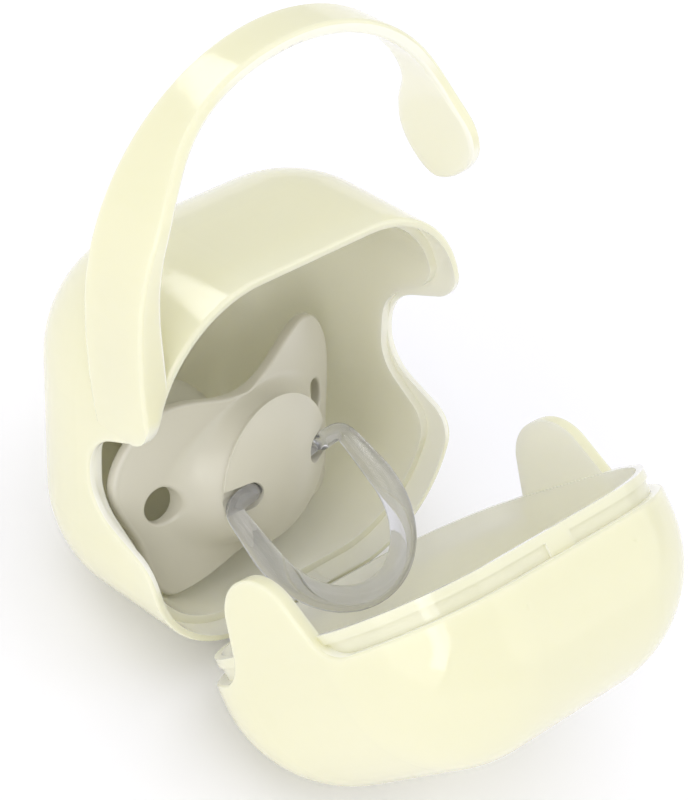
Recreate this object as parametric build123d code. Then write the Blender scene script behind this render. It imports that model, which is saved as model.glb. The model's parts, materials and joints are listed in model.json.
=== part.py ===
from build123d import *
from math import acos, atan2, cos, degrees, hypot, radians, sin, sqrt
import os

# Pacifier sterilizer case with hook handle, standing open with its pacifier inside.
#
# Everything is modelled in the closed case's own frame: origin at the middle of the
# rounded cube, front towards -Y, +X to the right, +Z up. At the end the front shell is
# swung open about the hinge, the whole set is leaned back until both bellies rest on
# the ground, and the origin is put at the middle of the footprint.

# ---- Case: a rounded cube moulded in two shells (millimetres) ----
CASE_W = 64.0          # across, X
CASE_D = 63.0          # front to back, Y
CASE_H = 64.0          # upright, Z
ROUND = 21.0           # radius of every edge and corner of the cube
WALL = 2.6             # wall of both shells
PART_AHEAD = 7.0       # the parting plane's distance ahead of the middle
SEAM = 0.35            # gap between the shut shells
RIM_EASE = 0.5         # rounding of both shells' rims on the outside

# ---- Ears of the front shell and the notches that take them ----
EAR_REACH = 14.5       # how far an ear reaches back from the parting plane
EAR_ROOT = 23.0        # height of an ear where it leaves the shell
EAR_TIP = 11.2         # height of its end before rounding
EAR_FLARE = 6.5        # radius where the ear runs into the rim
EAR_NOSE = 7.8         # radius of the ear's two end corners
EAR_THICK = 2.2        # thickness of an ear

# ---- Snap lip inside the front shell's rim, and the step that takes it ----
LIP_RISE = 3.7         # how far the lip stands past the parting plane
LIP_GAP = 0.25         # between the lip's bead and the step's skin
SKIN = 1.2             # wall left outside the step in the back shell
NECK_RISE = 2.2        # height of the groove under the bead
NECK_CUT = 0.45        # depth of that groove
CATCH_W = 4.9          # catch that bridges the groove at the middle of the top
STEP_EXTRA = 0.6       # the step is this much deeper than the lip
STEP_SPREAD = 1.6      # how far the step spreads beyond a notch's flanks

# ---- Hinge under the bottom of the parting plane ----
HINGE_DROP = 3.4       # axis below the case's bottom
KNUCKLE_R = 2.0        # outer radius of the knuckles
PIN_R = 0.9            # hinge pin
RUN_GAP = 0.05         # running clearance around pins
KNUCKLE_MID = 10.0     # length of the front shell's knuckle
KNUCKLE_SIDE = 7.0     # length of each of the back shell's knuckles
SIDE_GAP = 0.3         # gap between neighbouring knuckles
WEB_FOOT = 5.5         # how far a knuckle's web runs along the shell
WEB_CLEAR = 0.5        # web's distance from the parting plane

# ---- Hook handle moulded on the back shell's left wall ----
HOOK_X = 0.8           # centre of the hook's arc
HOOK_Z = 31.0
HOOK_R = 34.8          # outer radius of the arc
HOOK_THICK = 2.2       # strap thickness along the arc
HOOK_END = -14.0       # arc angle past the free end, below level
ROOT_THICK = 5.2       # strap thickness where it stands on the case's shoulder
LEG_THICK = 4.2        # and in the middle of its swell
LEG_MID = 38.0         # height of that middle
ROOT_ARC = 36.0        # arc angle where the strap reaches its thin section
ROOT_SHOULDER = 22.0   # height where its inner face meets the case's shoulder
ROOT_TUCK = 7.0        # how far below that it reaches the middle of the wall
ROOT_RUNOUT = 10.0     # height where its outer face is flush with the wall
LEG_TOP = 44.0         # height up to which the leg keeps its full width
STRAP_REAR = 5.8       # rear edge of the strap, behind the middle
NECK_AHEAD = 1.6       # front edge at the top of the arc
NECK_Z = 54.0          # height above which the paddle's side of the strap stays narrow
PADDLE_W = 16.0        # widest part of the paddle
PADDLE_AHEAD = 6.1     # front edge there
PADDLE_Z = 37.0        # height of the widest part
PADDLE_TIP = 28.9      # height of the paddle's round end
STRAP_EASE = 0.6       # rounding of the strap's long edges

# ---- Pacifier, in its own frame: button's rim at y = 0, front towards -Y ----
SHIELD_AHEAD = -3.8    # shield's front at the middle, behind the button's rim
SHIELD_BEND = 60.0     # radius the shield is bent to
SHIELD_THICK = 2.0
SHIELD_EASE = 0.7      # rounding of the shield's edge
SHIELD_HALF = 25.6     # half its width
DIP_UP = 12.9          # upper edge at the middle
DIP_DOWN = 13.6        # lower edge at the middle
LOBE_UP = (15.5, 16.9)     # top of an upper lobe: off the middle, above it
LOBE_DOWN = (17.4, 16.0)   # bottom of a lower lobe: off the middle, below it
WAIST = (22.3, 6.5)        # narrowest place of the side: off the middle, below it
VENT_X = 18.4          # vent hole off the middle
VENT_Z = 0.9
VENT_W = 5.4
VENT_H = 6.2
VENT_EASE = 0.6        # rounding of the vent's front edge
MOUND_FOOT = 16.6      # half width where the mound under the button runs out
MOUND_FLARE = 1.9      # how late the mound flares out: 1 is a straight flank
TEAT_BORE = 5.6        # hole for the teat's neck
TEAT_NECK = 5.5        # outer radius of the teat's neck
TEAT_WALL = 1.5
TEAT_BULB = 7.6        # radius of the bulb
TEAT_WAIST = 5.0       # outer radius of the teat's waist
TEAT_WAIST_AT = 6.0    # its place behind the shield's back
TEAT_CLEAR = 0.7       # gap between the teat's tip and the case's back wall
FLANGE_R = 8.2         # teat's flange under the button
FLANGE_THICK = 1.2
PLUG_THICK = 0.8       # plug's disc on the flange
FIT_GAP = 0.05         # clearance between pieces that are pressed together
KNOB_R = 12.3          # button
KNOB_DOME = 3.4        # rise of its dome
KNOB_STEM_R = 9.4      # part of the button let into the mound
KNOB_STEM = 2.4        # and its depth
SLOT_END = 5.7         # inner end of the ring's slots, off the middle
SLOT_HALF = 2.3        # half height of a slot
SLOT_GAP = 0.3         # clearance behind the ring in its slot
BAR_AHEAD = 1.5        # ring's axis ahead of the button's rim
BAR_R = 0.9            # ring's bar inside the button
BAR_HALF = 8.0         # half the bar's length
RING_FOOT_R = 1.45     # radius of the ring's section at its feet
RING_FOOT = 13.5       # half width of its centre-line there
RING_R = 2.1           # radius of the section round the bow
RING_HALF = 13.9       # centre-line radius of the bow
RING_REACH = 23.7      # centre-line reach from the axis
RING_CORNER = 2.3      # centre-line radius of the two corners at the bar
RING_SLIDE = 1.3       # the loose ring has slid this far to the right

# ---- How the set stands ----
OPEN_ANGLE = 50.8      # front shell swung open from shut
PAC_X = -1.6           # place of the middle of the button's rim in the back shell
PAC_AHEAD = 0.2
PAC_Z = -9.1
PAC_YAW = 7.4          # left side forward
PAC_PITCH = -5.7       # top back
PAC_ROLL = 2.1         # right side up
RING_DROOP = 42.7      # ring below the pacifier's own level

SPAN = 3 * CASE_W      # longer than anything that is cut


def rounded_block(inset):
    """The case's outer form, brought in by an inset on every side."""
    block = Box(CASE_W - 2 * inset, CASE_D - 2 * inset, CASE_H - 2 * inset)
    return fillet(block.edges(), ROUND - inset)


def prism(sketch, reach=SPAN):
    """A sketch in the Y-Z plane carried across the whole width."""
    return extrude(Plane.YZ * sketch, reach / 2, both=True)


def ear_outline(face_y, tip_y, root, tip):
    """Everything ahead of the parting plane, with an ear reaching back to tip_y."""
    points = [
        (-SPAN, SPAN), (face_y, SPAN), (face_y, root / 2), (tip_y, tip / 2),
        (tip_y, -tip / 2), (face_y, -root / 2), (face_y, -SPAN), (-SPAN, -SPAN),
    ]
    outline = make_face(Polyline(points, close=True))
    roots = [v for v in outline.vertices() if abs(abs(v.Y) - root / 2) < 0.01]
    outline = fillet(roots, EAR_FLARE)
    noses = [v for v in outline.vertices() if abs(v.X - tip_y) < 0.01]
    return fillet(noses, EAR_NOSE)


def slab(y_from, y_to):
    """A slab between two planes across the case."""
    return Pos(0, (y_from + y_to) / 2, 0) * Box(SPAN, y_to - y_from, SPAN)


FACE_Y = -PART_AHEAD
EAR_Y = FACE_Y + EAR_REACH
LIP_INSET = SKIN + LIP_GAP
HINGE = (0, FACE_Y, -CASE_H / 2 - HINGE_DROP)


def front_region():
    return ear_outline(FACE_Y, EAR_Y, EAR_ROOT, EAR_TIP)


def eased_rim(body):
    """Rounds the outer edges of a shell's mouth, which all lie between the two planes."""
    rim = []
    for edge in body.edges():
        box = edge.bounding_box()
        within = box.min.Y > FACE_Y - SEAM and box.max.Y < EAR_Y + 2 * SEAM
        if within and box.size.X < CASE_W / 2:
            rim.append(edge)
    return fillet(rim, RIM_EASE)


def skin_x(z, inset):
    """X of the left wall's skin at a height, brought in by an inset."""
    above = max(abs(z) - (CASE_H / 2 - ROUND), 0)
    return ROUND - CASE_W / 2 - sqrt((ROUND - inset) ** 2 - above ** 2)


def knuckle(x_from, x_to, side):
    """A hinge knuckle with its web; side is -1 for the front shell, +1 for the back."""
    _, y, z = HINGE
    bottom = -CASE_H / 2
    foot = y + side * WEB_FOOT
    web = make_face(Polyline([
        (y + side * WEB_CLEAR, bottom + WALL / 2), (foot, bottom + WALL / 2), (foot, bottom),
        (y + side * KNUCKLE_R * cos(radians(45)), z - KNUCKLE_R * sin(radians(45))),
        (y, z), (y + side * WEB_CLEAR, z + KNUCKLE_R / 2),
    ], close=True))
    round_end = Pos(y, z) * Circle(KNUCKLE_R)
    length = x_to - x_from
    body = extrude(Plane.YZ.offset(x_from) * (web + round_end), length)
    bore = Pos(x_from + length / 2, y, z) * Rot(0, 90, 0) * Cylinder(PIN_R + RUN_GAP, length)
    return body, bore


def knuckle_spans():
    """X ranges of the left, middle and right knuckles."""
    half = KNUCKLE_MID / 2
    near, far = half + SIDE_GAP, half + SIDE_GAP + KNUCKLE_SIDE
    return (-far, -near), (-half, half), (near, far)


def strap_profile():
    """The handle seen from the front: wall root, swelling leg, arc and free end."""
    inner_r = HOOK_R - HOOK_THICK
    start = radians(180 - ROOT_ARC)
    leg_x = HOOK_X - HOOK_R
    centre = (HOOK_X, HOOK_Z)
    outer = CenterArc(centre, HOOK_R, 180, HOOK_END - 180)
    inner = CenterArc(centre, inner_r, HOOK_END, 180 - ROOT_ARC - HOOK_END)
    shoulder = (leg_x + ROOT_THICK, ROOT_SHOULDER)
    swell = Spline([inner @ 1, (leg_x + LEG_THICK, LEG_MID), shoulder],
                   tangents=[(-sin(start), cos(start)), (0.1, -1)])
    tuck_z = ROOT_SHOULDER - ROOT_TUCK
    inside = Polyline([shoulder, (skin_x(tuck_z, WALL / 2), tuck_z),
                       (skin_x(ROOT_RUNOUT, WALL / 2), ROOT_RUNOUT), (-CASE_W / 2, ROOT_RUNOUT)])
    swept = Spline([inside @ 1, outer @ 0], tangents=[(-0.2, 1), (0, 1)])
    return make_face(Curve() + [outer, Line(outer @ 1, inner @ 0), inner, swell, inside, swept])


def strap_side(left):
    """The handle seen from the side, one half at a time: widening leg or round paddle."""
    top = HOOK_Z + HOOK_R + STRAP_EASE
    if left:
        foot = ROOT_RUNOUT - STRAP_EASE
        neck = (-NECK_AHEAD, top - HOOK_THICK - 2 * STRAP_EASE)
        leg = (FACE_Y + SEAM, LEG_TOP)
        front = Spline([neck, leg], tangents=[(0, -1), (0, -1)])
        rest = Polyline([leg, (FACE_Y + SEAM, foot), (STRAP_REAR, foot), (STRAP_REAR, top),
                         (-NECK_AHEAD, top), neck])
        return make_face(Curve() + [front, rest])
    front_y, rear_y = -PADDLE_AHEAD, PADDLE_W - PADDLE_AHEAD
    neck = (-NECK_AHEAD, NECK_Z)
    paddle = Spline([neck, (front_y, PADDLE_Z), ((front_y + rear_y) / 2, PADDLE_TIP),
                     (rear_y, PADDLE_Z), (STRAP_REAR, NECK_Z)],
                    tangents=[(0, -1), (0, -1), (1, 0), (0, 1), (0, 1)])
    cap = Polyline([(STRAP_REAR, NECK_Z), (STRAP_REAR, top), (-NECK_AHEAD, top), neck])
    return make_face(Curve() + [paddle, cap])


def handle():
    """Strap and paddle: the front profile cut to the side outlines of its two halves."""
    profile = extrude(Plane.XZ * strap_profile(), SPAN / 2, both=True)
    body = Part()
    for left in (True, False):
        half_at = HOOK_X + (-SPAN / 2 if left else SPAN / 2)
        body += profile & (prism(strap_side(left)) & Pos(half_at, 0, 0) * Box(SPAN, SPAN, SPAN))
    eased = []
    for edge in body.edges():
        box = edge.bounding_box()
        crosses = edge.geom_type == GeomType.LINE and box.size.Y > STRAP_REAR / 2
        if box.min.Z > ROOT_SHOULDER - STRAP_EASE and not crosses:
            eased.append(edge)
    return fillet(eased, STRAP_EASE)


def back_shell():
    """Rear shell with notches, stepped mouth, two hinge knuckles and the hook handle."""
    mouth = prism(offset(front_region(), SEAM))
    shell = eased_rim(rounded_block(0) - mouth) - rounded_block(WALL) + (handle() - mouth)
    step_y = FACE_Y + LIP_RISE + STEP_EXTRA
    step = ear_outline(step_y, EAR_Y + SEAM, EAR_ROOT + 2 * STEP_SPREAD, EAR_TIP + 2 * SEAM)
    shell -= prism(step) & rounded_block(SKIN)
    bores = []
    for x_from, x_to in knuckle_spans()[::2]:
        body, bore = knuckle(x_from, x_to, 1)
        shell += body
        bores.append(bore)
    return shell - bores


def front_shell():
    """Front shell: bowl, two ears, snap lip with bead and catch, and the middle knuckle."""
    shell = eased_rim(rounded_block(0) & prism(front_region())) - rounded_block(WALL)
    behind = slab(FACE_Y + LIP_RISE, SPAN / 2)
    shell -= behind & rounded_block(EAR_THICK)
    bead = rounded_block(LIP_INSET) - rounded_block(WALL)
    neck = rounded_block(LIP_INSET + NECK_CUT) - rounded_block(WALL)
    lip = bead & slab(FACE_Y + NECK_RISE, FACE_Y + LIP_RISE)
    lip += neck & slab(FACE_Y - WALL, FACE_Y + NECK_RISE)
    bridge = bead & slab(FACE_Y - SEAM, FACE_Y + LIP_RISE)
    shell += lip + (bridge & Pos(0, 0, SPAN / 2) * Box(CATCH_W, SPAN, SPAN))
    (x_from, x_to) = knuckle_spans()[1]
    body, bore = knuckle(x_from, x_to, -1)
    return shell + body - bore


def hinge_pin():
    length = knuckle_spans()[2][1] - knuckle_spans()[0][0]
    pin = Rot(0, 90, 0) * Cylinder(PIN_R, length)
    pin = chamfer(pin.edges().filter_by(GeomType.CIRCLE), PIN_R / 4)
    return Pos(*HINGE) * pin


# ---- Pacifier pieces ----

SHIELD_FRONT = -SHIELD_AHEAD
SHIELD_BACK = SHIELD_FRONT + SHIELD_THICK


def disc(radius, y_from, y_to):
    """A cylinder along the pacifier's own axis."""
    return Pos(0, (y_from + y_to) / 2, 0) * Rot(90, 0, 0) * Cylinder(radius, y_to - y_from)


def shield_outline():
    """Right half of the shield's butterfly outline."""
    up_x, up_z = LOBE_UP
    down_x, down_z = LOBE_DOWN
    waist_x, waist_z = WAIST
    side = Spline([
        (0, DIP_UP), (up_x, up_z), (SHIELD_HALF, up_z / 3),
        (waist_x, -waist_z), (down_x, -down_z), (0, -DIP_DOWN),
    ], tangents=[(1, 0), (1, 0), (0, -1), (-0.15, -1), (-1, 0), (-1, 0)])
    return make_face(Curve() + [side, Line((0, -DIP_DOWN), (0, DIP_UP))])


def mound():
    """Rise under the button: ovals that widen from the button's rim to the foot on the plate."""
    foot_y = SHIELD_FRONT + MOUND_FOOT ** 2 / (2 * SHIELD_BEND)
    half_h = DIP_UP - SHIELD_EASE / 2
    ovals = []
    for step in range(5):
        t = step / 4
        wide = KNOB_R + (MOUND_FOOT - KNOB_R) * t ** MOUND_FLARE
        high = KNOB_R + (half_h - KNOB_R) * t
        ovals.append(Plane.XZ.offset(-foot_y * t) * Ellipse(wide, high))
    return loft(ovals)


def shield():
    """Bent plate that rises in a mound to the button, bored for the teat, with two vents."""
    outline = extrude(Plane.XZ * shield_outline(), SPAN / 2, both=True)
    bend_at = Pos(0, SHIELD_FRONT + SHIELD_BEND, 0)
    behind = bend_at * Cylinder(SHIELD_BEND - SHIELD_THICK, SPAN)
    half = outline & (bend_at * Cylinder(SHIELD_BEND, SPAN) - behind)
    half &= Box(SPAN, SHIELD_BEND, SPAN)
    half = fillet(half.edges().filter_by(GeomType.BSPLINE), SHIELD_EASE)
    vent = Plane.XZ * Pos(VENT_X, VENT_Z) * Ellipse(VENT_W / 2, VENT_H / 2)
    half -= extrude(vent, SPAN / 2, both=True)
    rims = []
    for edge in half.edges():
        box = edge.bounding_box()
        if abs(box.center().X - VENT_X) < VENT_W / 4 and box.size.Z > VENT_H / 2:
            rims.append(edge)
    half = fillet(min(rims, key=lambda edge: edge.bounding_box().min.Y), VENT_EASE)
    plate = half + mirror(half, Plane.YZ) + (mound() - behind)
    plate -= disc(TEAT_BORE, -SHIELD_BACK, 2 * SHIELD_BACK)
    groove = Cylinder(RING_FOOT_R + SLOT_GAP, SPAN) - Cylinder(SPAN, 2 * KNOB_STEM_R)
    plate -= Pos(0, -BAR_AHEAD, 0) * Rot(0, 90, 0) * groove
    return plate - disc(KNOB_STEM_R + FIT_GAP, -KNOB_STEM, SEAT_Y)


SEAT_Y = KNOB_STEM + PLUG_THICK + FLANGE_THICK


def teat():
    """Hollow silicone teat, its flange clamped between the shield and the plug."""
    slant = cos(radians(PAC_YAW)) * cos(radians(PAC_PITCH))
    wall_y = CASE_D / 2 - WALL - TEAT_CLEAR + PAC_AHEAD
    bulb_y = (wall_y - TEAT_BULB) / slant
    tip = bulb_y + TEAT_BULB
    inner = TEAT_NECK - TEAT_WALL
    neck_y = SHIELD_BACK + FLANGE_THICK
    waist_y = SHIELD_BACK + TEAT_WAIST_AT
    outer = Spline([(TEAT_NECK, neck_y), (TEAT_WAIST, waist_y), (TEAT_BULB, bulb_y),
                    (0, tip)], tangents=[(0, 1), (-1, 0)])
    hollow = Spline([(0, tip - TEAT_WALL), (TEAT_BULB - TEAT_WALL, bulb_y),
                     (TEAT_WAIST - TEAT_WALL, waist_y), (inner, neck_y)],
                    tangents=[(1, 0), (0, -1)])
    flange_y = SEAT_Y - FLANGE_THICK
    foot = Polyline([(inner, neck_y), (inner, flange_y), (FLANGE_R, flange_y),
                     (FLANGE_R, SEAT_Y), (TEAT_NECK, SEAT_Y), (TEAT_NECK, neck_y)])
    return revolve(make_face(Curve() + [Line((0, tip), (0, tip - TEAT_WALL)), hollow, foot,
                                        outer]), Axis.Y)


def plug():
    """Hollow plug that holds the teat's neck open in the shield."""
    stem_r = TEAT_NECK - TEAT_WALL - FIT_GAP
    body = disc(FLANGE_R, KNOB_STEM, KNOB_STEM + PLUG_THICK) + disc(stem_r, KNOB_STEM, SHIELD_BACK)
    return body - disc(stem_r - PLUG_THICK, KNOB_STEM + PLUG_THICK, SHIELD_BACK)


def knob():
    """Domed button: a stem let into the mound, a bore for the ring's bar and two slots."""
    dome_r = (KNOB_R ** 2 + KNOB_DOME ** 2) / (2 * KNOB_DOME)
    ball = Pos(0, dome_r - KNOB_DOME, 0) * Sphere(dome_r)
    body = (ball & disc(KNOB_R, -2 * KNOB_DOME, -FIT_GAP)) + disc(KNOB_STEM_R, -FIT_GAP, KNOB_STEM)
    floor_y = RING_FOOT_R + SLOT_GAP - BAR_AHEAD
    ahead = Pos(0, floor_y - SPAN / 2, 0) * Box(SPAN, SPAN, SPAN)
    for side in (-1, 1):
        end_x = side * (SLOT_END + SLOT_HALF)
        end = Pos(end_x, 0, 0) * Rot(90, 0, 0) * Cylinder(SLOT_HALF, SPAN)
        run = Pos(end_x + side * KNOB_R, 0, 0) * Box(2 * KNOB_R, SPAN, 2 * SLOT_HALF)
        body -= (end + run) & ahead
    bore = Pos(0, -BAR_AHEAD, 0) * Rot(0, 90, 0) * Cylinder(BAR_R + RUN_GAP, SPAN)
    return body - (bore & Box(2 * KNOB_R, SPAN, SPAN))


def ring():
    """Ring in its own plane: bar, two legs that swell towards the bow, and the round bow."""
    bow_at = (0, RING_HALF - RING_REACH)
    foot = (RING_FOOT, 0)
    from_bow = hypot(RING_FOOT, bow_at[1])
    meet = atan2(-bow_at[1], RING_FOOT) - acos(RING_HALF / from_bow)
    tangent = (RING_HALF * cos(meet), bow_at[1] + RING_HALF * sin(meet))
    side = FilletPolyline([(BAR_HALF, 0), foot, tangent], radius=RING_CORNER)
    bar_end, bend, leg = side.edges().sort_by(Axis.Y, reverse=True)
    half = sweep(Plane.YZ.offset(BAR_HALF) * Circle(RING_FOOT_R), path=Wire([bar_end, bend]))
    down = Vector(*tangent) - Vector(*foot)
    top = leg.vertices().sort_by(Axis.Y)[-1].center()
    half += loft([Plane(top, z_dir=down) * Circle(RING_FOOT_R),
                  Plane(Vector(*tangent), z_dir=down) * Circle(RING_R)], ruled=True)
    bow = CenterArc(bow_at, RING_HALF, degrees(meet), -180 - 2 * degrees(meet))
    body = sweep(Plane(bow @ 0, z_dir=bow % 0) * Circle(RING_R), path=bow)
    body += half + mirror(half, Plane.YZ)
    body += Rot(0, 90, 0) * Cylinder(BAR_R, 2 * BAR_HALF)
    return Pos(RING_SLIDE, -BAR_AHEAD, 0) * Rot(RING_DROOP, 0, 0) * body


PAC_PLACE = Pos(PAC_X, -PAC_AHEAD, PAC_Z) * Rot(0, 0, PAC_YAW) * Rot(PAC_PITCH, -PAC_ROLL, 0)


def lean_angle():
    """Lean that brings the two bellies' lowest lines level with each other."""
    _, y, z = HINGE
    belly_y, belly_z = CASE_D / 2 - ROUND, ROUND - CASE_H / 2
    a = radians(OPEN_ANGLE)
    dy, dz = -belly_y - y, belly_z - z
    front_y = y + dy * cos(a) - dz * sin(a)
    front_z = z + dy * sin(a) + dz * cos(a)
    return degrees(atan2(belly_z - front_z, belly_y - front_y))


def build():
    """Every node in the standing pose, with the origin under the middle."""
    swing = Axis(HINGE, (1, 0, 0))
    closed = {
        "back_shell": back_shell(),
        "hinge_pin": hinge_pin(),
        "pacifier_shield": PAC_PLACE * shield(),
        "pacifier_teat": PAC_PLACE * teat(),
        "pacifier_plug": PAC_PLACE * plug(),
        "pacifier_knob": PAC_PLACE * knob(),
        "pacifier_ring": PAC_PLACE * ring(),
        "front_shell": front_shell().rotate(swing, OPEN_ANGLE),
    }
    lean = Axis.X
    stood = {name: solid.rotate(lean, -lean_angle()) for name, solid in closed.items()}
    box = Compound(children=list(stood.values())).bounding_box()
    shift = Pos(-(box.min.X + box.max.X) / 2, -(box.min.Y + box.max.Y) / 2, -box.min.Z)
    return {name: shift * solid for name, solid in stood.items()}, shift


if __name__ == "__main__":
    os.makedirs("parts", exist_ok=True)
    nodes, shift = build()
    for name, shape in nodes.items():
        solid = shape.solid()
        solid.label = name
        export_step(solid, f"parts/{name}.step")
    print("lean", round(lean_angle(), 3), "shift", shift.position)
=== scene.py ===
"""Pacifier sterilizer case standing open, with its finishes, lights and camera."""
import json
from math import cos, pi, radians, sin

import bmesh
import bpy
import numpy as np
from mathutils import Matrix, Vector


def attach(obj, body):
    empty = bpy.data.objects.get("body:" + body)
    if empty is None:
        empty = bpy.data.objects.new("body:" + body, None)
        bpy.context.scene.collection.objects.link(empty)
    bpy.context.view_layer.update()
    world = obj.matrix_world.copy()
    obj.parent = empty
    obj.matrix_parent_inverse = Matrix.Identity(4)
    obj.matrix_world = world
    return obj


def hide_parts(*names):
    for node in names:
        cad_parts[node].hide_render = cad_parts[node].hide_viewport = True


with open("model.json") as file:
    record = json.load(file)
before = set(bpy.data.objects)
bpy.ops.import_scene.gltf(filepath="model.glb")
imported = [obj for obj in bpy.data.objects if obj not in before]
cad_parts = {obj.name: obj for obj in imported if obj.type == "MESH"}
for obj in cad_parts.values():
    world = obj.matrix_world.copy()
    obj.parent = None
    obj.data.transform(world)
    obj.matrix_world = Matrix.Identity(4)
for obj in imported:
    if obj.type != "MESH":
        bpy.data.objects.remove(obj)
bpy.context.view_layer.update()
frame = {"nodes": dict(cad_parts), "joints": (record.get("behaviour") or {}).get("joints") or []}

MM = 0.001

# ---- The case, in the closed case's own frame: middle of the rounded cube, millimetres ----
HALF = np.array([32.0, 31.5, 32.0])
ROUND = 21.0
PARTING = 7.0           # parting plane ahead of the middle
HINGE_DROP = 3.4
OPEN_ANGLE = 50.8

# ---- The pacifier's place in the back shell ----
PAC_AT = (-1.6, -0.2, -9.1)
PAC_TURN = (-5.7, -2.1, 7.4)      # pitch, roll, yaw
RING_AHEAD = 1.5
RING_DROOP = 42.7


def turn(axis, degrees):
    """Rotation about one of the axes."""
    return Matrix.Rotation(radians(degrees), 4, axis)


def shift(x, y, z):
    """Move without turning."""
    return Matrix.Translation(Vector((x, y, z)))


def lean_degrees():
    """Lean that puts both bellies' lowest lines on the floor."""
    hinge = np.array([-PARTING, -HALF[2] - HINGE_DROP])
    belly = np.array([HALF[1] - ROUND, ROUND - HALF[2]])
    arm = np.array([-belly[0], belly[1]]) - hinge
    a = radians(OPEN_ANGLE)
    front = hinge + np.array([arm[0] * cos(a) - arm[1] * sin(a), arm[0] * sin(a) + arm[1] * cos(a)])
    return float(np.degrees(np.arctan2(belly[1] - front[1], belly[0] - front[0])))


HINGE = (0.0, -PARTING, -HALF[2] - HINGE_DROP)
hinge_joint = next(j for j in frame["joints"] if j["name"] == "cover_hinge")
LEANED = turn("X", -lean_degrees())
STAND = shift(*(Vector(hinge_joint["pos_m"]) / MM - LEANED @ Vector(HINGE)))
CASE = Matrix.Scale(MM, 4) @ STAND @ LEANED
COVER = CASE @ shift(*HINGE) @ turn("X", OPEN_ANGLE) @ shift(*(-Vector(HINGE)))
PITCH, ROLL, YAW = PAC_TURN
PACIFIER = CASE @ shift(*PAC_AT) @ turn("Z", YAW) @ turn("X", PITCH) @ turn("Y", ROLL)

# ---- Camera ----
VIEW_AZIMUTH = 0.789
VIEW_RISE = 0.585
VIEW_ROLL = 0.037
VIEW_DISTANCE = 449.317
VIEW_SHIFT = (-11.454, -4.977)
VIEW_CENTRE = (0.0, 2.472, -4.462)     # the point the view is measured from, in the case's frame
VIEW_SCALE = 6.448      # picture points per millimetre at that distance
PICTURE_WIDTH = 688
FILM_WIDTH = 36.0
NEAREST = 0.01          # metres: nothing closer is seen


def camera():
    """A long lens from the front left, above; its axes are worked out in the case's frame."""
    back = Vector((-sin(VIEW_AZIMUTH) * cos(VIEW_RISE), -cos(VIEW_AZIMUTH) * cos(VIEW_RISE),
                   sin(VIEW_RISE)))
    level = Vector((cos(VIEW_AZIMUTH), -sin(VIEW_AZIMUTH), 0))
    upward = level.cross(-back)
    right = level * cos(VIEW_ROLL) + upward * sin(VIEW_ROLL)
    up = upward * cos(VIEW_ROLL) - level * sin(VIEW_ROLL)
    eye = (Vector(VIEW_CENTRE) - right * VIEW_SHIFT[0] - up * VIEW_SHIFT[1]
           + back * VIEW_DISTANCE)
    data = bpy.data.cameras.new("camera")
    data.sensor_fit = "HORIZONTAL"
    data.sensor_width = FILM_WIDTH
    data.lens = FILM_WIDTH * VIEW_SCALE * VIEW_DISTANCE / PICTURE_WIDTH
    data.clip_start = NEAREST
    obj = bpy.data.objects.new("camera", data)
    bpy.context.scene.collection.objects.link(obj)
    turned = LEANED.to_3x3()
    axes = Matrix((turned @ right, turned @ up, turned @ back)).transposed()
    obj.matrix_world = Matrix.Translation(CASE @ eye) @ axes.to_4x4()
    bpy.context.scene.camera = obj


camera()


# ---- Studio: millimetres and directions in the floor's own frame ----
LIGHT_REACH = 0.6       # distance of every light from the place it lights, metres
KEY_WIDTH = 60.0        # how wide a key looks, degrees
KEY_TONE = (1.0, 0.985, 0.95)
KEY_SPOT = (0, 0, 45)   # the keys are aimed at the middle of the case
SKY_TONE, SKY_POWER = (0.98, 0.99, 1.03, 1), 0.76


def aim(name, data, spot, towards):
    """Puts a light on a direction from a spot on the case, facing it."""
    obj = bpy.data.objects.new(name, data)
    bpy.context.scene.collection.objects.link(obj)
    way = Vector(towards).normalized()
    obj.location = Vector(spot) * MM + way * LIGHT_REACH
    obj.rotation_euler = way.to_track_quat("Z", "Y").to_euler()
    return obj


def softbox(name, spot, towards, size, power, shape="RECTANGLE"):
    """A panel of a size in metres, which shows as a soft mirrored shape at the spot."""
    data = bpy.data.lights.new(name, "AREA")
    data.shape = shape
    data.size, data.size_y = size
    data.energy = power
    return aim(name, data, spot, towards)


def wide_key(name, towards, power):
    """A far, wide, slightly warm light, which falls evenly on everything."""
    data = bpy.data.lights.new(name, "SUN")
    data.energy = power
    data.angle = radians(KEY_WIDTH)
    data.color = KEY_TONE
    return aim(name, data, KEY_SPOT, towards)


def studio():
    """White surroundings, three wide soft keys and two panels for mirrored shapes."""
    world = bpy.data.worlds.new("studio")
    bpy.context.scene.world = world
    world.use_nodes = True
    sky = world.node_tree.nodes["Background"]
    sky.inputs["Color"].default_value = SKY_TONE
    sky.inputs["Strength"].default_value = SKY_POWER
    wide_key("left key", (-0.95, -0.28, 0.26), 0.98)
    wide_key("front key", (0.6, -0.65, 0.45), 0.55)
    wide_key("overhead", (0.0, 0.2, 1.0), 0.56)
    softbox("rear strip", (-20.8, 19.4, 64.9), (-0.052, 0.828, 0.558), (0.32, 0.04), 0.14,
            "ELLIPSE")
    softbox("window", (-25.4, -39.2, 52.0), (-0.668, -0.583, 0.463), (0.12, 0.28), 0.3)
    bpy.context.scene.view_settings.view_transform = "Standard"


studio()


# ---- Materials ----

GRAIN_FINER = 10.0      # grain against orange peel, in scale
GRAIN_SHARE = 0.12      # and in height
# Painted light: between these cosines a face turns from the outer cream to a paler inner colour,
# lifting the shells' hollows.
INNER_LIGHT_FROM, INNER_LIGHT_TO = 0.22, 0.0    # cosines between which a face turns from outer to inner

SKIN_TAKES = (("Tone", "Color"), ("Second Tone", "Color"), ("Inner Painted Light", "Color"),
              ("Middle", "Vector"), ("Drift Scale", "Float"), ("Peel Scale", "Float"),
              ("Smoothest", "Float"), ("Dullest", "Float"))
SKIN_GIVES = (("Colour", "Color"), ("Roughness", "Float"), ("Height", "Float"))


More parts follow.
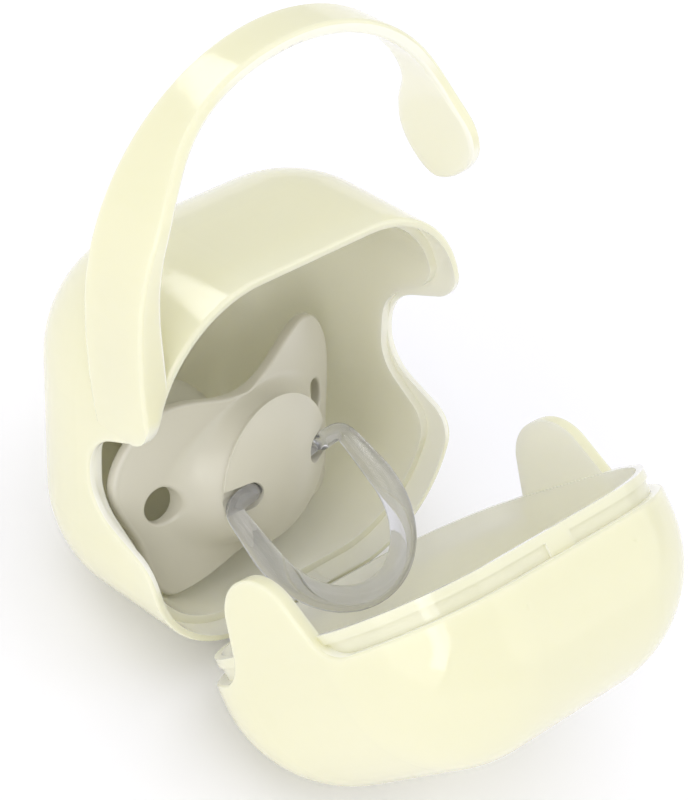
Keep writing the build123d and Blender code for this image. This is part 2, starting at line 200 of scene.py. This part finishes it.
def placed(tree, kind, inputs, **settings):
    """A node with its settings; each input is wired to a socket or set to a plain value."""
    node = tree.nodes.new(kind)
    for name, value in settings.items():
        setattr(node, name, value)
    for name, value in inputs.items():
        if isinstance(value, bpy.types.NodeSocket):
            tree.links.new(value, node.inputs[name])
        else:
            node.inputs[name].default_value = value
    return node


def moulded_skin_and_inner_light():
    """Node group for a moulded surface, from object coordinates.

    Colour drifts between two tones over centimetres, roughness drifts with it, and
    Height is an orange peel of millimetres plus a grain ten times finer.  Where the
    surface looks back at Middle, as a wall's inner side does, the colour turns to the
    paler inner tone: painted light, lifting the shade inside the hollow shells.
    """
    tree = bpy.data.node_groups.new("moulded skin and painted inner light", "ShaderNodeTree")
    for way, sockets in (("INPUT", SKIN_TAKES), ("OUTPUT", SKIN_GIVES)):
        for name, kind in sockets:
            tree.interface.new_socket(name, in_out=way, socket_type="NodeSocket" + kind)
    given = tree.nodes.new("NodeGroupInput").outputs
    place = tree.nodes.new("ShaderNodeTexCoord").outputs

    def noise(scale, **more):
        return placed(tree, "ShaderNodeTexNoise",
                      {"Vector": place["Object"], "Scale": scale, **more}).outputs["Fac"]

    def blended(share, first, second):
        return placed(tree, "ShaderNodeMix", {"Factor": share, "A": first, "B": second},
                      data_type="RGBA").outputs["Result"]

    def vector(operation, output, *inputs):
        return placed(tree, "ShaderNodeVectorMath", dict(enumerate(inputs)),
                      operation=operation).outputs[output]

    def number(operation, *inputs):
        return placed(tree, "ShaderNodeMath", dict(enumerate(inputs)),
                      operation=operation).outputs[0]

    drift = noise(given["Drift Scale"], Detail=3.0)
    peel = noise(given["Peel Scale"], Detail=1.0)
    grain = noise(number("MULTIPLY", given["Peel Scale"], GRAIN_FINER))
    outward = vector("SUBTRACT", "Vector", place["Object"], given["Middle"])
    facing = vector("DOT_PRODUCT", "Value", vector("NORMALIZE", "Vector", outward),
                    place["Normal"])
    # Painted light: faces that look back at Middle get the paler inner colour in place of the shade
    # they are in.
    inner = placed(tree, "ShaderNodeMapRange",
                   {"Value": facing, "From Min": INNER_LIGHT_FROM, "From Max": INNER_LIGHT_TO},
                   interpolation_type="SMOOTHSTEP")
    dull = placed(tree, "ShaderNodeMapRange",
                  {"Value": drift, "To Min": given["Smoothest"], "To Max": given["Dullest"]})
    placed(tree, "NodeGroupOutput", {
        "Colour": blended(inner.outputs["Result"],
                          blended(drift, given["Tone"], given["Second Tone"]),
                          given["Inner Painted Light"]),
        "Roughness": dull.outputs["Result"],
        "Height": number("MULTIPLY_ADD", grain, GRAIN_SHARE, peel)})
    return tree


SKIN_AND_INNER_LIGHT = moulded_skin_and_inner_light()


def moulded(name, tone, second_tone, smoothest, dullest, drift=25.0, peel=500.0, relief=0.00001,
            inner_painted_light=None, middle=(0, 0, 0), **shader):
    """A material with the moulded skin; shader gives uniform values by socket name."""
    mat = bpy.data.materials.new(name)
    mat.use_nodes = True
    tree = mat.node_tree
    bsdf = tree.nodes["Principled BSDF"]
    skin = placed(tree, "ShaderNodeGroup", {
        "Tone": (*tone, 1), "Second Tone": (*second_tone, 1),
        "Inner Painted Light": (*(inner_painted_light or tone), 1), "Middle": middle,
        "Drift Scale": drift, "Peel Scale": peel,
        "Smoothest": smoothest, "Dullest": dullest}, node_tree=SKIN_AND_INNER_LIGHT)
    bump = placed(tree, "ShaderNodeBump", {
        "Height": skin.outputs["Height"], "Distance": relief, "Strength": 1.0})
    for source, socket in ((skin.outputs["Colour"], "Base Color"),
                           (skin.outputs["Roughness"], "Roughness"),
                           (bump.outputs["Normal"], "Normal")):
        tree.links.new(source, bsdf.inputs[socket])
    for socket, value in shader.items():
        bsdf.inputs[socket.replace("_", " ")].default_value = value
    return mat


def cream_plastic(name, shell_frame, inner_painted_light):
    """Glossy cream, painted paler on the inside of the shell that stands round the frame's middle:
    painted light that lifts the shade of the hollow.
    """
    return moulded(name, (0.768, 0.75, 0.545), (0.758, 0.74, 0.535), 0.06, 0.09,
                   inner_painted_light=inner_painted_light, middle=shell_frame.translation,
                   Subsurface_Weight=0.6, Subsurface_Radius=(1.0, 0.98, 0.85),
                   Subsurface_Scale=0.004)


def greige_plastic():
    """Satin greige of the pacifier's hard parts."""
    return moulded("greige plastic", (0.64, 0.615, 0.515), (0.63, 0.605, 0.505), 0.26, 0.34,
                   peel=700.0)


def smoky_plastic():
    """Clear moulding with a smoky tint and a faintly rippled skin."""
    return moulded("smoky clear plastic", (0.82, 0.82, 0.84), (0.76, 0.76, 0.785), 0.02, 0.04,
                   drift=90.0, peel=250.0, relief=0.00004, Transmission_Weight=0.88, IOR=1.49)


def milky_silicone():
    """Soft, nearly opaque silicone."""
    return moulded("milky silicone", (0.87, 0.855, 0.735), (0.86, 0.845, 0.725), 0.28, 0.36,
                   Transmission_Weight=0.12, IOR=1.41)


def pin_steel():
    """Bright drawn steel."""
    return moulded("bright steel", (0.72, 0.72, 0.73), (0.66, 0.66, 0.67), 0.22, 0.34,
                   peel=1500.0, Metallic=1.0)


GREIGE, SMOKY = greige_plastic(), smoky_plastic()
# The third tone given to each cream is painted light: a paler colour on the shell's inner side,
# standing in for light inside the hollow.
for node_name, material in {
        "back_shell": cream_plastic("cream polypropylene of the back", CASE,
                                    (0.86, 0.845, 0.725)),
        "front_shell": cream_plastic("cream polypropylene of the cover", COVER,
                                     (0.92, 0.905, 0.785)),
        "hinge_pin": pin_steel(),
        "pacifier_shield": GREIGE, "pacifier_knob": GREIGE, "pacifier_plug": GREIGE,
        "pacifier_ring": SMOKY, "pacifier_teat": milky_silicone()}.items():
    slots = frame["nodes"][node_name].data.materials
    slots.clear()
    slots.append(material)


# ---- Pieces worked out on grids, in the pacifier's own frame: button's rim at y = 0, front -Y ----
MERGE = 0.0000005       # metres: points closer than this are one
SHARP = 42.0            # edges that turn more than this stay crisp

PLATE_AT = 3.8          # shield's front behind the button's rim, at the middle
PLATE_BEND = 60.0
PLATE_THICK = 2.0
EDGE_ROLL = 0.8         # rounding of the plate's edges
ROLL_FADE = 1.5         # it fades in over this distance outside the button's rim
DIP_UP, DIP_DOWN = 12.9, 13.6
LOBE_UP, LOBE_DOWN = (15.5, 16.9), (17.4, 16.0)
PLATE_HALF = 25.6
WAIST = (22.3, 6.5)
WAIST_LEAN = (-0.15, -1)
RIM_R = 12.3            # button's rim
LAND_R = 11.6           # flat land under the rim starts here
STEM_BORE, TEAT_BORE, SEAT_Y = 9.45, 5.6, 4.4
MOUND_WIDE, MOUND_HIGH, MOUND_FALL = 19.5, 12.95, 2.2
MOUND_TOP = 11.9        # the mound starts to fall here, under the button
GROOVE_R = 1.75         # round grooves under the ring's feet
VENT_AT, VENT_HALF, VENT_ROLL = (18.4, 0.9), (2.7, 3.1), 0.6
SPOKES = 181            # spokes of the shield's right half, a degree apart
FACE_STEPS = 61         # points on every spoke of a face
VENT_SPOKES = (76, 110)     # block of cells opened for the vent: first and last spoke
VENT_STEPS = (12, 52)       # and its nearest and farthest points on them
VENT_RINGS = 9          # rings of points from the block's border to the vent's edge
TURN = np.linspace(0, pi / 2, 7)    # quarter turn of a rolled edge

DOME = 3.4
RIM_BAND = 0.38         # upright band round the button's edge
RIM_ROUND = 0.14
RIM_LIFT = 0.1          # the button's edge stands this far off the rim plane
BRIM_EASE = 0.04        # tiny bevel under the edge
LAND_SINK = 0.08        # and the mound's land this far behind it
STEM_R, STEM_DEEP = 9.4, 2.4
SLOT_AT, SLOT_HALF, SLOT_FLOOR = 8.0, 2.3, 0.25
BORE_R = 0.95
SLOT_BEVEL = 0.1        # easing of the cut edges
SLOT_BEND = 50.0        # which are those that turn more than this

RING_FOOT, RING_BOW, RING_REACH = 13.5, 13.9, 23.7
BAR_R, FOOT_R, BOW_R = 0.9, 1.45, 2.1
SWELL = (7.7, 8.2)      # the bar becomes the foot between these places off the middle
RING_SLIDE = 1.3        # the loose ring has slid this far to the right
CORNER_SOFT = 1.5       # spread of the averaging that rounds the ring's corners
SWELL_SOFT = 0.3        # and of the one that eases its thickness
RING_STEPS, RING_SIDES = 720, 40


def cells(rows, columns, wrap_rows, wrap_columns):
    """Corner numbers of every cell of a grid of points, row by row."""
    i = np.arange(rows if wrap_rows else rows - 1)[:, None]
    j = np.arange(columns if wrap_columns else columns - 1)[None, :]
    below, beside = (i + 1) % rows, (j + 1) % columns
    corners = [a * columns + b for a, b in ((i, j), (i, beside), (below, beside), (below, j))]
    return np.stack(np.broadcast_arrays(*corners), axis=-1)


def meshed(name, sheets, place):
    """One closed mesh from several sheets of points and cells that share their borders."""
    points = [np.asarray(sheet, float).reshape(-1, 3) for sheet, _ in sheets]
    starts = np.cumsum([0] + [len(flat) for flat in points[:-1]])
    quads = np.concatenate([quad.reshape(-1, 4) + start
                            for (_, quad), start in zip(sheets, starts)])
    moved = np.concatenate(points) @ np.array(place.to_3x3()).T + np.array(place.translation)
    mesh = bpy.data.meshes.new(name)
    mesh.from_pydata(moved.tolist(), [], quads.tolist())
    work = bmesh.new()
    work.from_mesh(mesh)
    bmesh.ops.remove_doubles(work, verts=work.verts, dist=MERGE)
    bmesh.ops.recalc_face_normals(work, faces=work.faces)
    work.to_mesh(mesh)
    work.free()
    mesh.shade_smooth()
    mesh.set_sharp_from_angle(angle=radians(SHARP))
    obj = bpy.data.objects.new(name, mesh)
    bpy.context.scene.collection.objects.link(obj)
    return obj


def dressed(obj, body, node, material):
    """Gives a piece its material and its body, and hides the CAD piece it stands for."""
    obj.data.materials.clear()
    obj.data.materials.append(material)
    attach(obj, body)
    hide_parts(node)


def spanned(knots, headings, count):
    """Curve through the knots: on each span a cubic that leaves and arrives along the
    headings, which are as long there as the span's chord."""
    knots, headings = np.array(knots, float), np.array(headings, float)
    headings /= np.hypot(*headings.T)[:, None]
    t = np.linspace(0, 1, count, endpoint=False)[None, :, None]
    start, end = knots[:-1, None], knots[1:, None]
    chord = np.hypot(*(knots[1:] - knots[:-1]).T)[:, None, None]
    out, into = headings[:-1, None] * chord, headings[1:, None] * chord
    spans = ((2 * t**3 - 3 * t**2 + 1) * start + (t**3 - 2 * t**2 + t) * out
             + (3 * t**2 - 2 * t**3) * end + (t**3 - t**2) * into)
    return np.concatenate([spans.reshape(-1, 2), knots[-1:]])


def outline_radius(angle):
    """Distance from the middle to the shield's butterfly outline, right half, by angle."""
    up, down, waist = LOBE_UP, LOBE_DOWN, WAIST
    curve = spanned([(0, DIP_UP), up, (PLATE_HALF, up[1] / 3), (waist[0], -waist[1]),
                     (down[0], -down[1]), (0, -DIP_DOWN)],
                    [(1, 0), (1, 0), (0, -1), WAIST_LEAN, (-1, 0), (-1, 0)], 60)
    turns = np.arctan2(curve[:, 1], curve[:, 0])
    return np.interp(angle, turns[::-1], np.hypot(*curve.T)[::-1])


def plate(x, thick=0.0):
    """Depth of the plate's front, or of its back: upright cylinders about one axis."""
    return PLATE_AT + PLATE_BEND - np.sqrt((PLATE_BEND - thick)**2 - x**2)


def shield_front(x, z):
    """Front of the shield: the plate drawn forward to the button's rim by a mound that
    falls off as a power of 1 - t, with t from 0 at the rim to 1 on an oval foot."""
    r = np.hypot(x, z)
    foot = r / np.hypot(x / MOUND_WIDE, z / MOUND_HIGH)
    t = np.clip((r - MOUND_TOP) / (foot - MOUND_TOP), 0, 1)
    groove = np.sqrt(np.maximum(GROOVE_R**2 - z**2, 0)) - RING_AHEAD
    return np.maximum(LAND_SINK + (plate(x) - LAND_SINK) * (1 - (1 - t)**MOUND_FALL), groove)


def vent_tunnel(border):
    """Sheet from a block's border on the front, over the vent's rolled edge, through the
    plate and back out to the same border; each border point heads for the vent's middle."""
    middle, half = np.array(VENT_AT), np.array(VENT_HALF)
    turns = np.arctan2(border[:, 1] - middle[1], border[:, 0] - middle[0])
    spoke = np.stack([np.cos(turns), np.sin(turns)], axis=-1)
    lip = middle + spoke * (half + VENT_ROLL)
    near = np.linspace(0, 1, VENT_RINGS)
    flat = border + (lip - border) * near[:, None, None]
    rolled = lip - spoke * VENT_ROLL * np.sin(TURN[1:])[:, None, None]
    sunk = np.concatenate([0 * near, VENT_ROLL * (1 - np.cos(TURN[1:]))])[:, None]
    x, z = np.moveaxis(np.concatenate([flat, rolled]), -1, 0)
    front = np.stack([x, shield_front(x, z) + sunk, z], axis=-1)
    back = np.stack([x, plate(x, PLATE_THICK) - sunk, z], axis=-1)
    return np.concatenate([front, back[::-1]])


def shield_half():
    """Right half of the shield: a closed profile at every angle round the middle, with a
    block of cells opened for the vent on both faces."""
    angle = np.radians(np.linspace(-90, 90, SPOKES))[:, None]
    rim = outline_radius(angle)
    roll = EDGE_ROLL * (1 - np.exp((RIM_R - rim) / ROLL_FADE))

    def spokes(r, depth):
        x, z = r * np.cos(angle), r * np.sin(angle)
        return np.stack([x, depth(x, z) if callable(depth) else depth + 0 * x, z], axis=-1)

    def back(x, z):
        return plate(x, PLATE_THICK)

    r_face = LAND_R + (rim - roll - LAND_R) * np.linspace(0, 1, FACE_STEPS)
    face, behind = spokes(r_face, shield_front), spokes(r_face, back)[:, ::-1]
    edge = rim - roll * (1 - np.sin(TURN[1:]))
    over = spokes(edge, face[:, -1:, 1] + roll * (1 - np.cos(TURN[1:])))
    under = spokes(edge[:, ::-1], behind[:, :1, 1] - roll * (1 - np.cos(TURN[:0:-1])))
    inner = spokes(np.linspace(LAND_R, TEAT_BORE, 6)[1:], back)
    seat = spokes(np.array([TEAT_BORE, STEM_BORE, STEM_BORE]), np.array([SEAT_Y, SEAT_Y, 0.0]))
    loop = np.concatenate([face, over, under, behind, inner, seat], axis=1)
    quads = cells(*loop.shape[:2], False, True)
    (first, last), (low, high) = VENT_SPOKES, VENT_STEPS
    mirrored = FACE_STEPS + 2 * len(TURN[1:]) + FACE_STEPS - 1
    keep = np.ones(quads.shape[:2], bool)
    keep[first:last, low:high] = False
    keep[first:last, mirrored - high:mirrored - low] = False
    block = face[first:last + 1, low:high + 1][..., [0, 2]]
    border = np.concatenate([block[:-1, 0], block[-1, :-1], block[:0:-1, -1], block[0, :0:-1]])
    tunnel = vent_tunnel(border)
    return [(loop, quads[keep]), (tunnel, cells(*tunnel.shape[:2], False, True))]


def shield():
    """The half and its mirror image, joined along the middle."""
    half = shield_half()
    other = [(sheet * (-1, 1, 1), quads) for sheet, quads in half]
    return meshed("shield_plate", half + other, PACIFIER)


def turned(profile, count=240):
    """Sheet spun round the pacifier's own axis from (radius, y) points."""
    profile = np.array(profile, float)
    angle = np.linspace(0, 2 * pi, count, endpoint=False)[:, None]
    r, y = profile.T
    sheet = np.stack([r * np.cos(angle), y + 0 * angle, r * np.sin(angle)], axis=-1)
    return [(sheet, cells(count, len(profile), True, False))]


def button_profile():
    """Dome as part of a ball, a narrow upright band round the rim, flat underside, stem."""
    brim, top = RIM_R - RIM_ROUND, -RIM_BAND - RIM_ROUND
    rise = DOME + top
    ball = (brim**2 + rise**2) / (2 * rise)
    r = np.linspace(0, brim, 60)
    dome = np.stack([r, ball - DOME - np.sqrt(ball**2 - r**2)], axis=-1)
    over = np.stack([brim + RIM_ROUND * np.sin(TURN[1:]), top + RIM_ROUND * (1 - np.cos(TURN[1:]))],
                    axis=-1)
    rest = [(RIM_R, -RIM_LIFT - BRIM_EASE), (RIM_R - BRIM_EASE, -RIM_LIFT),
            (STEM_R, -RIM_LIFT), (STEM_R, STEM_DEEP), (0, STEM_DEEP)]
    return np.concatenate([dome, over, rest])


def slot_cutter(side):
    """A round-ended bar of cutting space ahead of the slot's floor, running out sideways."""
    ends = np.linspace(-pi / 2, pi / 2, 33)
    x = np.concatenate([SLOT_AT - SLOT_HALF * np.cos(ends), [2 * RIM_R, 2 * RIM_R]]) * side
    z = np.concatenate([SLOT_HALF * np.sin(ends), [SLOT_HALF, -SLOT_HALF]])
    loop = np.stack([x, 0 * x, z], axis=-1)
    return capped(loop + (0, SLOT_FLOOR, 0), loop - (0, 2 * DOME, 0))


def capped(start, end):
    """Sheets of a straight bar between two copies of a loop, closed at both ends."""
    def cap(loop):
        return np.stack([loop, np.broadcast_to(loop.mean(axis=0), loop.shape)])
    wall = np.stack([start, end])
    return [(sheet, cells(2, len(start), False, True)) for sheet in (wall, cap(start), cap(end))]


def bore_cutter():
    """A round bar of cutting space across the button, on the ring's axis."""
    around = np.linspace(0, 2 * pi, 32, endpoint=False)
    loop = np.stack([0 * around, BORE_R * np.cos(around) - RING_AHEAD, BORE_R * np.sin(around)],
                    axis=-1)
    return capped(loop - (2 * RIM_R, 0, 0), loop + (2 * RIM_R, 0, 0))


def cut(obj, sheets):
    """Takes the space inside the sheets, which share their borders, out of a piece."""
    tool = meshed("cutter", sheets, PACIFIER)
    taken = obj.modifiers.new("cut", "BOOLEAN")
    taken.operation, taken.solver, taken.object = "DIFFERENCE", "EXACT", tool
    finished(obj)
    bpy.data.objects.remove(tool)


def finished(obj):
    """Turns a piece's modifiers into its mesh."""
    bpy.context.view_layer.update()
    seen = obj.evaluated_get(bpy.context.evaluated_depsgraph_get())
    shaped = bpy.data.meshes.new_from_object(seen)
    obj.modifiers.clear()
    obj.data = shaped


def button():
    """The spun button less both slots and the bar's bore, with the cut edges eased."""
    obj = meshed("domed_button", turned(button_profile()), PACIFIER)
    for sheets in (slot_cutter(-1), slot_cutter(1), bore_cutter()):
        cut(obj, sheets)
    soft = obj.modifiers.new("soft edges", "BEVEL")
    soft.width, soft.segments, soft.limit_method = SLOT_BEVEL * MM, 2, "ANGLE"
    soft.angle_limit = radians(SLOT_BEND)
    finished(obj)
    obj.data.shade_smooth()
    obj.data.set_sharp_from_angle(angle=radians(SHARP))
    return obj


def averaged(values, spread):
    """Mean along a closed run, weighted by a bell curve whose spread is in points and
    which is cut off at four spreads."""
    reach = int(4 * spread)
    weights = np.exp(-np.arange(-reach, reach + 1)**2 / (2 * spread**2))
    weights /= weights.sum()
    padded = np.concatenate([values[-reach:], values, values[:reach]])
    return np.stack([np.convolve(column, weights, "valid") for column in padded.T], axis=-1)


def ring():
    """Round section carried along a closed path of bar, legs and bow; even steps are
    averaged along the path to round its corners, and the section swells from the bar's
    shoulders to the bow."""
    sink = RING_REACH - RING_BOW
    meet = float(np.arctan2(sink, RING_FOOT) - np.arccos(RING_BOW / np.hypot(sink, RING_FOOT)))
    bow = np.linspace(meet, -pi - meet, 200)
    arc = np.stack([RING_BOW * np.cos(bow), RING_BOW * np.sin(bow) - sink], axis=-1)
    path = np.concatenate([[(0, 0), (RING_FOOT, 0)], arc, [(-RING_FOOT, 0), (0, 0)]])
    along = np.concatenate([[0], np.cumsum(np.hypot(*np.diff(path, axis=0).T))])
    length = along[-1]
    s = np.linspace(0, length, RING_STEPS, endpoint=False)
    centre = np.stack([np.interp(s, along, column) for column in path.T], axis=-1)
    centre = averaged(centre, CORNER_SOFT * RING_STEPS / length)
    leg_end = along[2]
    radius = np.interp(np.minimum(s, length - s), [*SWELL, RING_FOOT, leg_end],
                       [BAR_R, FOOT_R, FOOT_R, BOW_R])
    radius = averaged(radius[:, None], SWELL_SOFT * RING_STEPS / length)
    ahead = np.roll(centre, -1, axis=0) - np.roll(centre, 1, axis=0)
    ahead /= np.hypot(*ahead.T)[:, None]
    around = np.linspace(0, 2 * pi, RING_SIDES, endpoint=False)
    sideways = np.stack([-ahead[:, 1], ahead[:, 0]], axis=-1)
    flat = centre[:, None] + (radius * np.cos(around))[..., None] * sideways[:, None]
    sheet = np.concatenate([flat, (radius * np.sin(around))[..., None]], axis=-1)
    place = PACIFIER @ shift(RING_SLIDE, -RING_AHEAD, 0) @ turn("X", RING_DROOP)
    return meshed("ring_of_pacifier", [(sheet, cells(RING_STEPS, RING_SIDES, True, True))], place)


dressed(shield(), "case_back", "pacifier_shield", GREIGE)
dressed(button(), "case_back", "pacifier_knob", GREIGE)
dressed(ring(), "pull_ring", "pacifier_ring", SMOKY)


# ---- Floor ----

def floor():
    """A wide white sheet under the case, three metres to every side."""
    reach = 3.0
    mesh = bpy.data.meshes.new("floor")
    mesh.from_pydata([(-reach, -reach, 0), (reach, -reach, 0), (reach, reach, 0),
                      (-reach, reach, 0)], [], [(0, 1, 2, 3)])
    obj = bpy.data.objects.new("floor", mesh)
    bpy.context.scene.collection.objects.link(obj)
    mesh.materials.append(moulded("floor paper", (0.955, 0.95, 0.985), (0.95, 0.945, 0.98),
                                  0.8, 0.9, drift=4.0, peel=300.0))


floor()
